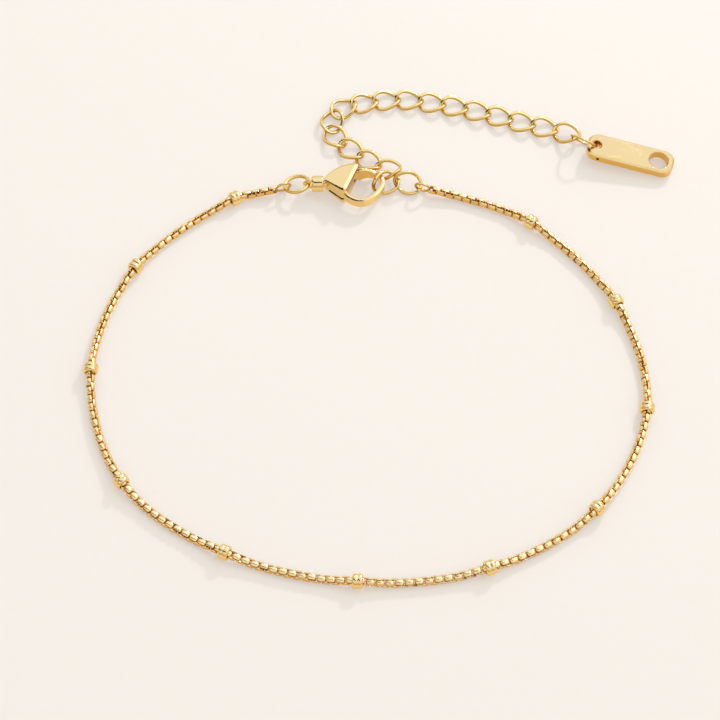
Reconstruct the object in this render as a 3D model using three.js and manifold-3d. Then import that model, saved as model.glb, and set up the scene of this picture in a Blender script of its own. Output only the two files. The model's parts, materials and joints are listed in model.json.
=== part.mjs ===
// Beaded anklet with a lobster clasp, a twisted-link extender and a plain tag,
// lying fastened on a flat surface. Millimetres, +Z up, the surface at z = 0.
// The drawing is laid out from a point inside the loop; the finished group is moved so that
// the origin is the middle of the footprint.

import * as THREE from 'three';
import { mergeVertices } from 'three/addons/utils/BufferGeometryUtils.js';
import Module from 'manifold-3d';

const wasm = await Module();
wasm.setup();

// ---------------------------------------------------------------- driving dimensions

const FOOTPRINT_CENTRE = [3.23, 4.63];

const CHAIN_RADIUS = 0.55;
const CHAIN_STEPS = 78;
const CHAIN_SIDES = 8;
const ROUTE_DIVISIONS = 2000;
const WELD_DISTANCE = 1e-5;

const BEAD_RADIUS = 0.94;
const BEAD_LENGTH = 1.3;
const BEAD_HOLE_RADIUS = 0.66;
const BEAD_SIDES = 18;
const BEAD_LIFT_SPAN = 4.2;
// Half a bead's section, from its middle to its end: below the full radius, short of the end.
const BEAD_SHOULDERS = [
  { below: 0, short: 0.49 }, { below: 0.05, short: 0.28 }, { below: 0.2, short: 0.05 },
];
const BEAD_BORE_CHAMFER = 0.09;

const LINK_HALF_LENGTH = 1.76;
const LINK_HALF_WIDTH = 1.36;
const LINK_WIRE_RADIUS = 0.215;
const LINK_TWIST_DEG = -30;
const WIRE_STEPS = 24;
const WIRE_SIDES = 7;

const END_RING_RADIUS = 0.92;
const END_RING_WIRE_RADIUS = 0.18;

const JUMP_RING_RADIUS = 1.56;
const JUMP_RING_WIRE_RADIUS = 0.27;

const TAG_RING_RADIUS = 1.75;
const TAG_RING_WIRE_RADIUS = 0.17;

const TAG_LENGTH = 11.4;
const TAG_WIDTH = 3.3;
const TAG_THICKNESS = 1.3;
const TAG_CORNER_RADIUS = 1.45;
const TAG_CHAMFER = 0.14;
const TAG_CORNER_STEPS = 5;
const TAG_SMALL_HOLE = { fromEnd: 1.2, radius: 0.65, sides: 16 };
const TAG_LARGE_HOLE = { fromEnd: 2.0, radius: 1.25, sides: 24 };
const TAG_DIMPLE = { fromEnd: 1.75, radius: 0.16, sides: 12, depth: 0.3 };

const CLASP_PIVOT = [-0.95, 26.35, 1.45];
const TURNED_SIDES = 20;
// The wedge grows from the tail half thickness to the front one along its slope, given in plan
// by a direction and by the two distances along it where the growth starts and ends.
const WEDGE_TAIL = { halfThickness: 0.87, along: -3.2 };
const WEDGE_FRONT = { halfThickness: 1.45, along: 0.2, most: 1.12 };
const WEDGE_SLOPE = { x: 0.92, y: -0.39 };
const WEDGE_BEVEL = 0.16;
const WEDGE_UNIT_BEVEL = 0.15;
const BARREL_Y = -0.87;
const BARREL_RADIUS = 1.06;
const BARREL_START = -5.25;
const BARREL_END = -3.8;
const BARREL_ROUNDING = 0.22;
const NECK_RADIUS = 0.62;
const NECK_END = -3.3;
const EYE_WIRE_RADIUS = 0.19;
const EYE_HALF_HEIGHT = 0.74;
const EYE_REACH = 0.93;
const EYE_ROOT = 0.3;
const HOOK_THICKNESS = 0.55;
const HOOK_HEIGHT = 1.3;
const HOOK_STEPS = 22;
const BAND_EDGE = 0.14;
const LEVER_PIVOT = [-0.45, 0.15];
const PIN_RADIUS = 0.34;
const PIN_HALF_HEIGHT = 1.0;
const HUB_HOLE_RADIUS = 0.42;
const HUB_RADIUS = 0.65;
const HUB_CLEARANCE = 0.1;
const HUB_HALF_HEIGHT = 0.62;
const GATE_THICKNESS = 0.4;
const GATE_HEIGHT = 2.2;
const GATE_STEPS = 14;
const CAVITY_HALF_HEIGHT = 0.72;
const SLOT_LOW = -0.82;
const SLOT_HIGH = -0.46;
const TAB_LOW = -0.76;
const TAB_HIGH = -0.52;

// The chain's route on the surface, from the clasp end to the extender end: its two ends, the
// beads and one place where it straightens. bead is 1 where a bead sits on the chain.
const CHAIN_ROUTE = [
  { x: -11.1, y: 24.9, bead: 0 }, { x: -16.0, y: 23.6, bead: 1 },
  { x: -28.2, y: 13.2, bead: 1 }, { x: -33.1, y: -1.8, bead: 1 },
  { x: -28.6, y: -17.5, bead: 1 }, { x: -16.0, y: -27.0, bead: 1 },
  { x: -0.3, y: -30.8, bead: 1 }, { x: 15.3, y: -29.0, bead: 1 },
  { x: 28.2, y: -21.2, bead: 1 }, { x: 35.0, y: -7.4, bead: 1 },
  { x: 32.0, y: 7.9, bead: 1 }, { x: 21.8, y: 19.9, bead: 1 },
  { x: 14.5, y: 23.5, bead: 0 }, { x: 9.25, y: 24.9, bead: 0 },
];

// The extender, link by link, from the chain's right end to the tag. Rows with a height are
// lifted off the surface by the clasp or by the tag's ring; the others lie flat on it.
const LINK_LYING = { z: 0.575, pitch: 0, roll: 0 };
const EXTENDER = [
  { x: 6.13, y: 25.86, z: 1.19, heading: -14.5, pitch: -13.3, roll: 45.4 },
  { x: 3.28, y: 25.74, z: 1.37, heading: 27.0, pitch: -2.5, roll: 41.8 },
  { x: 3.55, y: 27.88, z: 1.18, heading: 163.0, pitch: -23.4, roll: -7.0 },
  { x: 1.15, y: 29.50, z: 0.76, heading: 141.7, pitch: -5.2, roll: 1.7 },
  { x: -1.17, y: 31.44, heading: 142.1 }, { x: -3.23, y: 33.48, heading: 121.5 },
  { x: -3.64, y: 36.03, heading: 76.6 }, { x: -2.16, y: 38.17, heading: 33.7 },
  { x: 0.55, y: 38.98, heading: 12 }, { x: 3.45, y: 39.41, heading: 5 },
  { x: 6.43, y: 39.43, heading: -4 }, { x: 9.42, y: 38.98, heading: -10 },
  { x: 12.36, y: 38.38, heading: -13 }, { x: 15.30, y: 37.62, heading: -16 },
  { x: 18.20, y: 36.74, heading: -17 }, { x: 21.10, y: 35.83, heading: -17 },
  { x: 24.02, y: 35.00, heading: -17 },
  { x: 26.83, y: 33.84, z: 0.91, heading: -23.6, pitch: 10.2, roll: 7.2 },
];

const RINGS = [
  { name: 'chain_end_ring_left', radius: END_RING_RADIUS, wire: END_RING_WIRE_RADIUS,
    x: -9.84, y: 25.24, z: 1.1, heading: 18, pitch: 0, roll: 100 },
  { name: 'chain_end_ring_right', radius: END_RING_RADIUS, wire: END_RING_WIRE_RADIUS,
    x: 8.02, y: 25.2, z: 1.12, heading: -15, pitch: 0, roll: 100 },
  { name: 'jump_ring', radius: JUMP_RING_RADIUS, wire: JUMP_RING_WIRE_RADIUS,
    x: -8.11, y: 25.6, z: 1.2, heading: 0, pitch: 11, roll: -15 },
  { name: 'tag_ring', radius: TAG_RING_RADIUS, wire: TAG_RING_WIRE_RADIUS,
    x: 28.98, y: 31.98, z: 1.74, heading: -28.4, pitch: 0, roll: 118 },
];

const TAG_PLACE = { x: 29.42, y: 31.65, z: 1.58, heading: -15.8, pitch: -4.6, roll: 0 };

// ---------------------------------------------------------------- finishes

const gold = (name, color, roughness) => {
  const material = new THREE.MeshStandardMaterial({ color, roughness, metalness: 1 });
  material.name = name;
  return material;
};

const FINISH = {
  chain: gold('chain_gold', 0xd9a94e, 0.3),
  bead: gold('bead_gold', 0xe0b35a, 0.18),
  link: gold('link_gold', 0xdeb05a, 0.2),
  clasp: gold('clasp_gold', 0xe6c277, 0.15),
  tag: gold('tag_gold', 0xe8c880, 0.25),
};

// ---------------------------------------------------------------- solids and placing

const degrees = THREE.MathUtils.degToRad;

function toSolid(geometry) {
  const bare = geometry.index ? geometry.toNonIndexed() : geometry.clone();
  bare.deleteAttribute('normal');
  bare.deleteAttribute('uv');
  const merged = mergeVertices(bare, WELD_DISTANCE);
  return new wasm.Manifold(new wasm.Mesh({
    numProp: 3,
    vertProperties: merged.attributes.position.array,
    triVerts: new Uint32Array(merged.index.array),
  }));
}

function toGeometry(solid) {
  const mesh = solid.getMesh();
  const geometry = new THREE.BufferGeometry();
  geometry.setAttribute('position', new THREE.BufferAttribute(mesh.vertProperties, 3));
  geometry.setIndex(new THREE.BufferAttribute(mesh.triVerts, 1));
  geometry.computeVertexNormals();
  return geometry;
}

// heading turns about Z, pitch lifts the +X end, roll lifts the +Y side.
function pose({ x, y, z, heading, pitch, roll }) {
  const turn = new THREE.Euler(degrees(roll), -degrees(pitch), degrees(heading), 'ZYX');
  return { position: new THREE.Vector3(x, y, z), rotation: turn };
}

function addPiece(group, name, geometry, material, place) {
  const mesh = new THREE.Mesh(geometry, material);
  mesh.name = name;
  if (place) {
    const { position, rotation } = pose(place);
    mesh.position.copy(position);
    mesh.rotation.copy(rotation);
  }
  group.add(mesh);
  return mesh;
}

// A closed wire: a round section carried once round a closed curve.
function closedWire(curve, wireRadius) {
  const frames = curve.computeFrenetFrames(WIRE_STEPS, true);
  const positions = [];
  const indices = [];
  for (let i = 0; i < WIRE_STEPS; i += 1) {
    const centre = curve.getPointAt(i / WIRE_STEPS);
    for (let j = 0; j < WIRE_SIDES; j += 1) {
      const angle = (2 * Math.PI * (j + 0.5)) / WIRE_SIDES;
      const point = centre.clone()
        .addScaledVector(frames.normals[i], wireRadius * Math.cos(angle))
        .addScaledVector(frames.binormals[i], wireRadius * Math.sin(angle));
      positions.push(point.x, point.y, point.z);
      const here = i * WIRE_SIDES + j;
      const beside = i * WIRE_SIDES + ((j + 1) % WIRE_SIDES);
      const ahead = ((i + 1) % WIRE_STEPS) * WIRE_SIDES + j;
      const aheadBeside = ((i + 1) % WIRE_STEPS) * WIRE_SIDES + ((j + 1) % WIRE_SIDES);
      indices.push(here, beside, ahead, beside, aheadBeside, ahead);
    }
  }
  const geometry = new THREE.BufferGeometry();
  geometry.setAttribute('position', new THREE.Float32BufferAttribute(positions, 3));
  geometry.setIndex(indices);
  geometry.computeVertexNormals();
  return geometry;
}

// ---------------------------------------------------------------- chain and beads

// The chain rises over each bead and over both end rings, and lies on the surface between.
class ChainRoute extends THREE.Curve {
  constructor(rows) {
    super();
    this.plan = new THREE.CatmullRomCurve3(
      rows.map((row) => new THREE.Vector3(row.x, row.y, 0)), false, 'centripetal');
    this.plan.arcLengthDivisions = ROUTE_DIVISIONS;
    this.highPlaces = rows
      .filter((row, index) => row.bead || index === 0 || index === rows.length - 1)
      .map((row) => new THREE.Vector3(row.x, row.y, 0));
  }

  getPoint(t, target = new THREE.Vector3()) {
    const point = this.plan.getPointAt(t);
    const nearest = Math.min(...this.highPlaces.map((place) => place.distanceTo(point)));
    const rise = Math.max(0, 1 - nearest / BEAD_LIFT_SPAN);
    const ease = rise * rise * (3 - 2 * rise);
    return target.set(point.x, point.y,
      CHAIN_RADIUS + (BEAD_RADIUS - CHAIN_RADIUS) * ease);
  }

  // The station along the route, 0 to 1, that lies nearest a row of the table.
  stationOf(row) {
    let best = 0;
    let gap = Infinity;
    for (let i = 0; i <= ROUTE_DIVISIONS; i += 1) {
      const point = this.plan.getPointAt(i / ROUTE_DIVISIONS);
      const away = Math.hypot(point.x - row.x, point.y - row.y);
      if (away < gap) {
        gap = away;
        best = i / ROUTE_DIVISIONS;
      }
    }
    return best;
  }
}

function circleShape(radius, sides) {
  const shape = new THREE.Shape();
  for (let j = 0; j < sides; j += 1) {
    const angle = (2 * Math.PI * (j + 0.5)) / sides;
    const corner = [radius * Math.cos(angle), radius * Math.sin(angle)];
    if (j === 0) shape.moveTo(...corner);
    else shape.lineTo(...corner);
  }
  shape.closePath();
  return shape;
}

function chainGeometry(route) {
  const tube = new THREE.ExtrudeGeometry(circleShape(CHAIN_RADIUS, CHAIN_SIDES), {
    steps: CHAIN_STEPS, extrudePath: route, bevelEnabled: false,
  });
  return toGeometry(toSolid(tube));
}

// A rounded rondelle, turned about its own hole: full at the middle, drawn in at the ends.
function beadGeometry() {
  const half = BEAD_LENGTH / 2;
  const upper = BEAD_SHOULDERS.map(({ below, short }) => [BEAD_RADIUS - below, half - short]);
  upper.push([BEAD_HOLE_RADIUS + BEAD_BORE_CHAMFER, half]);
  upper.push([BEAD_HOLE_RADIUS, half - BEAD_BORE_CHAMFER]);
  const lower = upper.map(([radius, along]) => [radius, -along]).reverse();
  const profile = [...lower, ...upper, lower[0]];
  const turned = new THREE.LatheGeometry(
    profile.map(([radius, along]) => new THREE.Vector2(radius, along)), BEAD_SIDES);
  return toGeometry(toSolid(turned));
}

function addChain(group) {
  const route = new ChainRoute(CHAIN_ROUTE);
  addPiece(group, 'chain', chainGeometry(route), FINISH.chain);
  const beads = CHAIN_ROUTE.filter((row) => row.bead);
  beads.forEach((row, index) => {
    const station = route.stationOf(row);
    const along = route.getTangent(station);
    const name = `bead_${String(index + 1).padStart(2, '0')}`;
    const bead = addPiece(group, name, beadGeometry(), FINISH.bead);
    bead.position.copy(route.getPoint(station));
    bead.quaternion.setFromUnitVectors(new THREE.Vector3(0, 1, 0), along);
  });
}

// ---------------------------------------------------------------- links and rings

// One twisted link: an oval wire whose two ends are turned opposite ways about its length,
// so that each link lies flat while it passes through the next.
class TwistedLink extends THREE.Curve {
  getPoint(t, target = new THREE.Vector3()) {
    const angle = 2 * Math.PI * t;
    const across = LINK_HALF_WIDTH * Math.sin(angle);
    const twist = degrees(LINK_TWIST_DEG) * Math.cos(angle);
    return target.set(LINK_HALF_LENGTH * Math.cos(angle),
      across * Math.cos(twist), across * Math.sin(twist));
  }
}

class RoundRing extends THREE.Curve {
  constructor(radius) {
    super();
    this.radius = radius;
  }

  getPoint(t, target = new THREE.Vector3()) {
    const angle = 2 * Math.PI * t;
    return target.set(this.radius * Math.cos(angle), this.radius * Math.sin(angle), 0);
  }
}

function addExtender(group) {
  EXTENDER.forEach((row, index) => {
    const name = `extender_link_${String(index + 1).padStart(2, '0')}`;
    const wire = closedWire(new TwistedLink(), LINK_WIRE_RADIUS);
    addPiece(group, name, wire, FINISH.link, { ...LINK_LYING, ...row });
  });
}

function addRings(group) {
  for (const { name, radius, wire, ...place } of RINGS) {
    addPiece(group, name, closedWire(new RoundRing(radius), wire), FINISH.link, place);
  }
}

// ---------------------------------------------------------------- tag

function roundedPlate(length, width, radius) {
  const middles = [[length - radius, -width / 2 + radius], [length - radius, width / 2 - radius],
    [radius, width / 2 - radius], [radius, -width / 2 + radius]];
  const points = [];
  middles.forEach(([x, y], corner) => {
    for (let i = 0; i <= TAG_CORNER_STEPS; i += 1) {
      const angle = (Math.PI / 2) * (corner - 1 + i / TAG_CORNER_STEPS);
      points.push(new THREE.Vector2(x + radius * Math.cos(angle), y + radius * Math.sin(angle)));
    }
  });
  return new THREE.Shape(points);
}

function roundHole(x, { radius, sides }) {
  const points = [];
  for (let i = 0; i < sides; i += 1) {
    const angle = (-2 * Math.PI * i) / sides;
    points.push(new THREE.Vector2(x + radius * Math.cos(angle), radius * Math.sin(angle)));
  }
  return new THREE.Path(points);
}

function tagGeometry() {
  const outline = roundedPlate(TAG_LENGTH, TAG_WIDTH, TAG_CORNER_RADIUS);
  outline.holes.push(
    roundHole(TAG_SMALL_HOLE.fromEnd, TAG_SMALL_HOLE),
    roundHole(TAG_LENGTH - TAG_LARGE_HOLE.fromEnd, TAG_LARGE_HOLE));
  const plate = new THREE.ExtrudeGeometry(outline, {
    depth: TAG_THICKNESS - 2 * TAG_CHAMFER, bevelEnabled: true, bevelSegments: 1,
    bevelThickness: TAG_CHAMFER, bevelSize: TAG_CHAMFER, bevelOffset: -TAG_CHAMFER,
  });
  plate.translate(0, 0, -TAG_THICKNESS / 2 + TAG_CHAMFER);
  const { fromEnd, radius, sides, depth } = TAG_DIMPLE;
  const dimple = prism(circleShape(radius, sides), -depth, depth).rotate([90, 0, 0]);
  return toGeometry(toSolid(plate).subtract(dimple.translate([fromEnd, -TAG_WIDTH / 2, 0])));
}

// ---------------------------------------------------------------- clasp

function prism(outline, low, high) {
  const slab = new THREE.ExtrudeGeometry(outline, { depth: high - low, bevelEnabled: false });
  slab.translate(0, 0, low);
  return toSolid(slab);
}

function polygon(points) {
  return new THREE.Shape(points.map(([x, y]) => new THREE.Vector2(x, y)));
}

// Plan of the wedge-shaped body, pivot at the origin, the hook towards +X.
function bodyOutline() {
  const outline = new THREE.Shape();
  outline.moveTo(-3.6, -0.45);
  outline.bezierCurveTo(-2.9, 0.5, -1.8, 1.45, 0.12, 1.53);
  outline.quadraticCurveTo(0.66, 1.55, 0.78, 1.11);
  outline.lineTo(-0.77, -2.52);
  outline.lineTo(-1.28, -2.86);
  outline.lineTo(-3.69, -0.88);
  return outline;
}

// Half thickness grows from the tail to the sloping front face.
function halfThicknessAt(x, y) {
  const along = WEDGE_SLOPE.x * x + WEDGE_SLOPE.y * y;
  const grown = (along - WEDGE_TAIL.along) / (WEDGE_FRONT.along - WEDGE_TAIL.along);
  const share = THREE.MathUtils.clamp(grown, 0, WEDGE_FRONT.most);
  return THREE.MathUtils.lerp(WEDGE_TAIL.halfThickness, WEDGE_FRONT.halfThickness, share);
}

// The slab is drawn from -1 to 1 and stretched to the half thickness at each corner.
function wedge() {
  const slab = new THREE.ExtrudeGeometry(bodyOutline(), {
    depth: 2 * (1 - WEDGE_UNIT_BEVEL), curveSegments: 7, bevelEnabled: true, bevelSegments: 1,
    bevelThickness: WEDGE_UNIT_BEVEL, bevelSize: WEDGE_BEVEL, bevelOffset: -WEDGE_BEVEL,
  });
  slab.translate(0, 0, WEDGE_UNIT_BEVEL - 1);
  const position = slab.attributes.position;
  for (let i = 0; i < position.count; i += 1) {
    const half = halfThicknessAt(position.getX(i), position.getY(i));
    position.setZ(i, position.getZ(i) * half);
  }
  return toSolid(slab);
}

function barrelAndNeck() {
  const profile = [
    [0, BARREL_START], [BARREL_RADIUS - BARREL_ROUNDING, BARREL_START],
    [BARREL_RADIUS, BARREL_START + BARREL_ROUNDING], [BARREL_RADIUS, BARREL_END - BARREL_ROUNDING],
    [BARREL_RADIUS - BARREL_ROUNDING, BARREL_END], [NECK_RADIUS, BARREL_END],
    [NECK_RADIUS, NECK_END], [0, NECK_END],
  ].map(([radius, along]) => new THREE.Vector2(radius, along));
  const lathe = new THREE.LatheGeometry(profile, TURNED_SIDES);
  lathe.rotateZ(-Math.PI / 2);
  lathe.translate(0, BARREL_Y, 0);
  return toSolid(lathe);
}

class EyeLoop extends THREE.Curve {
  getPoint(t, target = new THREE.Vector3()) {
    const angle = 2 * Math.PI * t;
    return target.set(BARREL_START - EYE_REACH * Math.cos(angle), BARREL_Y,
      EYE_HALF_HEIGHT * Math.sin(angle));
  }
}

// Only the part of the loop behind its root is kept; the root is set into the barrel.
function eye() {
  const loop = toSolid(closedWire(new EyeLoop(), EYE_WIRE_RADIUS));
  return loop.trimByPlane([-1, 0, 0], -(BARREL_START + EYE_ROOT));
}

// A flat band that stands on its edge along a plan curve.
function band(points, thickness, height, steps) {
  const curve = new THREE.CatmullRomCurve3(
    points.map(([x, y]) => new THREE.Vector3(x, y, 0)), false, 'centripetal');
  const halfHeight = height / 2;
  const halfThickness = thickness / 2;
  const section = new THREE.Shape([
    [halfHeight, halfThickness - BAND_EDGE], [halfHeight - BAND_EDGE, halfThickness],
    [-halfHeight + BAND_EDGE, halfThickness], [-halfHeight, halfThickness - BAND_EDGE],
    [-halfHeight, -halfThickness + BAND_EDGE], [-halfHeight + BAND_EDGE, -halfThickness],
    [halfHeight - BAND_EDGE, -halfThickness], [halfHeight, -halfThickness + BAND_EDGE],
  ].map(([x, y]) => new THREE.Vector2(x, y)));
  const swept = new THREE.ExtrudeGeometry(section, {
    steps, extrudePath: curve, bevelEnabled: false,
  });
  return toSolid(swept);
}

const HOOK_LINE = [
  [-1.15, -2.35], [-0.5, -3.15], [0.2, -3.6], [1.0, -3.78], [1.95, -3.55],
  [2.95, -2.8], [3.6, -1.85], [3.88, -1.0], [3.7, -0.25], [3.32, 0.22],
];

const GATE_LINE = [
  [-0.3, 0.2], [0.2, 0.32], [0.75, 0.52], [1.3, 0.7], [1.8, 0.77], [2.3, 0.72], [2.7, 0.56],
  [2.92, 0.42],
];

// The gate seen from the side: low where it enters the body, tall beside it, low at its tip.
const GATE_SIDE = [
  [-0.9, HUB_HALF_HEIGHT], [0.72, HUB_HALF_HEIGHT], [0.82, 1.08], [3.1, 0.5],
];

const TAB_OUTLINE = [[-0.85, -0.15], [-2.05, -2.1], [-1.75, -2.34], [-0.35, -0.35]];

const TAB_ROOM = [
  [-1.15, 0.3], [-3.1, -1.5], [-3.5, -2.2], [-1.2, -3.4], [-0.95, -2.2], [-0.1, -0.4],
];

const GATE_MOUTH = [[-0.4, -0.4], [1.2, -0.1], [1.5, 1.2], [-0.2, 0.8]];

function leverDisc(radius, halfHeight) {
  const round = prism(circleShape(radius, TURNED_SIDES), -halfHeight, halfHeight);
  return round.translate([...LEVER_PIVOT, 0]);
}

// Room inside the body for the lever's hub, its gate and its thin tab.
function leverRoom() {
  return leverDisc(HUB_RADIUS + HUB_CLEARANCE, CAVITY_HALF_HEIGHT)
    .add(prism(polygon(GATE_MOUTH), -CAVITY_HALF_HEIGHT, CAVITY_HALF_HEIGHT))
    .add(prism(polygon(TAB_ROOM), SLOT_LOW, SLOT_HIGH));
}

function claspBodyGeometry() {
  const pin = leverDisc(PIN_RADIUS, PIN_HALF_HEIGHT);
  const hook = band(HOOK_LINE, HOOK_THICKNESS, HOOK_HEIGHT, HOOK_STEPS);
  const body = wedge().add(barrelAndNeck()).add(eye()).subtract(leverRoom());
  return toGeometry(body.add(hook).add(pin));
}

function gateSide() {
  const low = GATE_SIDE.map(([x, halfHeight]) => [x, -halfHeight]).reverse();
  return prism(polygon([...GATE_SIDE, ...low]), -GATE_HEIGHT, GATE_HEIGHT).rotate([90, 0, 0]);
}

function leverGeometry() {
  const hub = leverDisc(HUB_RADIUS, HUB_HALF_HEIGHT);
  const gate = band(GATE_LINE, GATE_THICKNESS, GATE_HEIGHT, GATE_STEPS).intersect(gateSide());
  const tab = prism(polygon(TAB_OUTLINE), TAB_LOW, TAB_HIGH);
  const bore = leverDisc(HUB_HOLE_RADIUS, PIN_HALF_HEIGHT);
  return toGeometry(hub.add(gate).add(tab).subtract(bore));
}

function addClasp(group) {
  const clasp = new THREE.Group();
  clasp.position.set(...CLASP_PIVOT);
  addPiece(clasp, 'clasp_body', claspBodyGeometry(), FINISH.clasp);
  addPiece(clasp, 'clasp_lever', leverGeometry(), FINISH.clasp);
  group.add(clasp);
}

// ---------------------------------------------------------------- the anklet

const anklet = new THREE.Group();
addChain(anklet);
addRings(anklet);
addExtender(anklet);
addPiece(anklet, 'tag', tagGeometry(), FINISH.tag, TAG_PLACE);
addClasp(anklet);
anklet.position.set(-FOOTPRINT_CENTRE[0], -FOOTPRINT_CENTRE[1], 0);

export default anklet;
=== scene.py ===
# %% [markdown]
# # A gold anklet: fine chain, ridged beads, clasp, extender and tag
#
# This lesson dresses a finished construction model with its looks. The construction says where
# every ring, link and bead lies; each cell reads one place from it, makes the fine version of
# that piece there and lets it ride on the body that carries it. Lengths are worked out in
# millimetres, because the pieces are tiny, and a finished mesh is written in metres.

import json
import math

import bmesh
import bpy
import numpy as np
from mathutils import Matrix, Vector


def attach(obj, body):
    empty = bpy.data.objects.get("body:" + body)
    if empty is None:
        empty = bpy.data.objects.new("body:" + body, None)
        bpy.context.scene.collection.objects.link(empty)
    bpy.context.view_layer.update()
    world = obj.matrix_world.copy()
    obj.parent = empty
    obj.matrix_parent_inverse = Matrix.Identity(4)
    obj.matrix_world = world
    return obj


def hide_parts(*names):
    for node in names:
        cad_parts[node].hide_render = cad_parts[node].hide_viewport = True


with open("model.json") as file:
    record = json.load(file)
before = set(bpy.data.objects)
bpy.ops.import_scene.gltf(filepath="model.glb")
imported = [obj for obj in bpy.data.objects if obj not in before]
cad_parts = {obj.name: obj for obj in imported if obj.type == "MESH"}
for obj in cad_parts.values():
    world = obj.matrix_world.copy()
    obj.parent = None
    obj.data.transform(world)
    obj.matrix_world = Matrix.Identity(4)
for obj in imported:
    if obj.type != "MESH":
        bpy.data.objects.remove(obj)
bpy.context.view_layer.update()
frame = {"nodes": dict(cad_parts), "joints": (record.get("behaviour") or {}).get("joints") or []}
MM = 0.001

# %% [markdown]
# ## Node trees written as expressions
#
# A node graph is easier to read as a formula. `Value` wraps one output socket and turns the
# usual operators into Math nodes; `Tree` makes every other node with one method that takes the
# node's type, its settings and the values or links of its sockets. The same two classes serve
# the Geometry Nodes that repeat the small pieces and the shaders that finish them.

# %% Value


class Value:
    """One output socket of a node, usable in arithmetic."""

    def __init__(self, tree, socket):
        self.tree = tree
        self.socket = socket

    def __add__(self, other):
        return self.tree.math("ADD", self, other)

    def __sub__(self, other):
        return self.tree.math("SUBTRACT", self, other)

    def __rsub__(self, other):
        return self.tree.math("SUBTRACT", other, self)

    def __mul__(self, other):
        return self.tree.math("MULTIPLY", self, other)

    __radd__ = __add__
    __rmul__ = __mul__


# %% Tree


class Tree:
    """A node tree that is filled in by code."""

    def __init__(self, tree):
        self.tree = tree

    def node(self, kind, settings=None, inputs=None, output=0):
        made = self.tree.nodes.new(kind)
        for name, setting in (settings or {}).items():
            setattr(made, name, setting)
        for name, value in (inputs or {}).items():
            self.feed(made.inputs[name], value)
        return Value(self, made.outputs[output]) if made.outputs else made

    def feed(self, socket, value):
        if isinstance(value, Value):
            self.tree.links.new(value.socket, socket)
        else:
            socket.default_value = value

    def ramp(self, value, stops):
        """A colour ramp; stops are (position, colour) from low to high."""
        ramp = self.tree.nodes.new("ShaderNodeValToRGB")
        while len(ramp.color_ramp.elements) < len(stops):
            ramp.color_ramp.elements.new(1.0)
        for element, (position, colour) in zip(ramp.color_ramp.elements, stops):
            element.position = position
            element.color = (*colour, 1.0)
        self.feed(ramp.inputs["Fac"], value)
        return Value(self, ramp.outputs["Color"])

    def math(self, operation, *values):
        inputs = dict(enumerate(values))
        return self.node("ShaderNodeMath", {"operation": operation}, inputs)

    def mixed(self, below, above, share):
        """One colour over another, by a share from 0 to 1."""
        colours = {0: share, 6: below, 7: above}
        return self.node("ShaderNodeMix", {"data_type": "RGBA"}, colours, output=2)

    def noise(self, vector, scale, detail):
        sizes = {"Vector": vector, "Scale": scale, "Detail": detail}
        return self.node("ShaderNodeTexNoise", inputs=sizes)

    def eased(self, value, none, full):
        """0 where the value is none, 1 where it is full, and a soft step between them."""
        return self.node("ShaderNodeMapRange", {"interpolation_type": "SMOOTHSTEP"}, {
            "Value": value, "From Min": none, "From Max": full})


# %% [markdown]
# ## Trees that grow a mesh
#
# A geometry tree is run on a piece as a modifier. Its sizes are named inputs, so one tree makes
# many pieces. Its instances are made real and the result is baked to a plain mesh, because only
# a plain mesh can ride on a body.

# %% Begin, end and run a geometry tree


def geometry_tree(name, sizes):
    """An empty geometry tree with one named input for each size, and its wrapped sockets."""
    tree = bpy.data.node_groups.new(name, "GeometryNodeTree")
    side = tree.interface
    side.new_socket("Geometry", in_out="INPUT", socket_type="NodeSocketGeometry")
    for label, kind in sizes.items():
        side.new_socket(label, in_out="INPUT", socket_type="NodeSocket" + kind)
    side.new_socket("Geometry", in_out="OUTPUT", socket_type="NodeSocketGeometry")
    made = Tree(tree)
    source = tree.nodes.new("NodeGroupInput")
    given = {socket.name: Value(made, socket) for socket in source.outputs if socket.name}
    return made, given


def end_tree(tree, geometry, material):
    """Realizes what was instanced, paints it, and sends it out of the tree."""
    real = tree.node("GeometryNodeRealizeInstances", inputs={"Geometry": geometry})
    painted = tree.node("GeometryNodeSetMaterial", inputs={"Geometry": real, "Material": material})
    tree.node("NodeGroupOutput", inputs={"Geometry": painted})


def facing(tree, long_axis, hole_axis):
    """The rotation that turns a piece's X and Z axes to these two directions."""
    return tree.node("FunctionNodeAxesToRotation", {"primary_axis": "X", "secondary_axis": "Z"},
                     {"Primary Axis": long_axis, "Secondary Axis": hole_axis})


def attribute(tree, name, kind):
    return tree.node("GeometryNodeInputNamedAttribute", {"data_type": kind}, {"Name": name})


def end_with_copies(tree, points, piece, turn, material):
    """Sets a piece down at every point, and ends the tree."""
    shape = tree.node("GeometryNodeObjectInfo", inputs={"Object": piece}, output=4)
    copies = tree.node("GeometryNodeInstanceOnPoints", inputs={
        "Points": points, "Instance": shape, "Rotation": turn})
    end_tree(tree, copies, material)


def add_object(name, data):
    """A new object in the scene, at the origin."""
    made = bpy.data.objects.new(name, data)
    bpy.context.scene.collection.objects.link(made)
    return made


def as_modified(source):
    """A new mesh of an object as its modifiers leave it."""
    graph = bpy.context.evaluated_depsgraph_get()
    return bpy.data.meshes.new_from_object(source.evaluated_get(graph), depsgraph=graph)


def from_shape(name, shape):
    """A new object from a bmesh, with its faces turned outward."""
    bmesh.ops.recalc_face_normals(shape, faces=shape.faces)
    mesh = bpy.data.meshes.new(name)
    shape.to_mesh(mesh)
    shape.free()
    return add_object(name, mesh)


def baked(source, name, place=Matrix.Identity(4)):
    """A plain mesh of a modified object, in metres, at its place."""
    mesh = as_modified(source)
    mesh.transform(Matrix.Scale(MM, 4) @ place)
    mesh.name = name
    bpy.data.objects.remove(source)
    made = add_object(name, mesh)
    print(f"{name}: {len(mesh.polygons)} faces")
    return made


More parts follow.
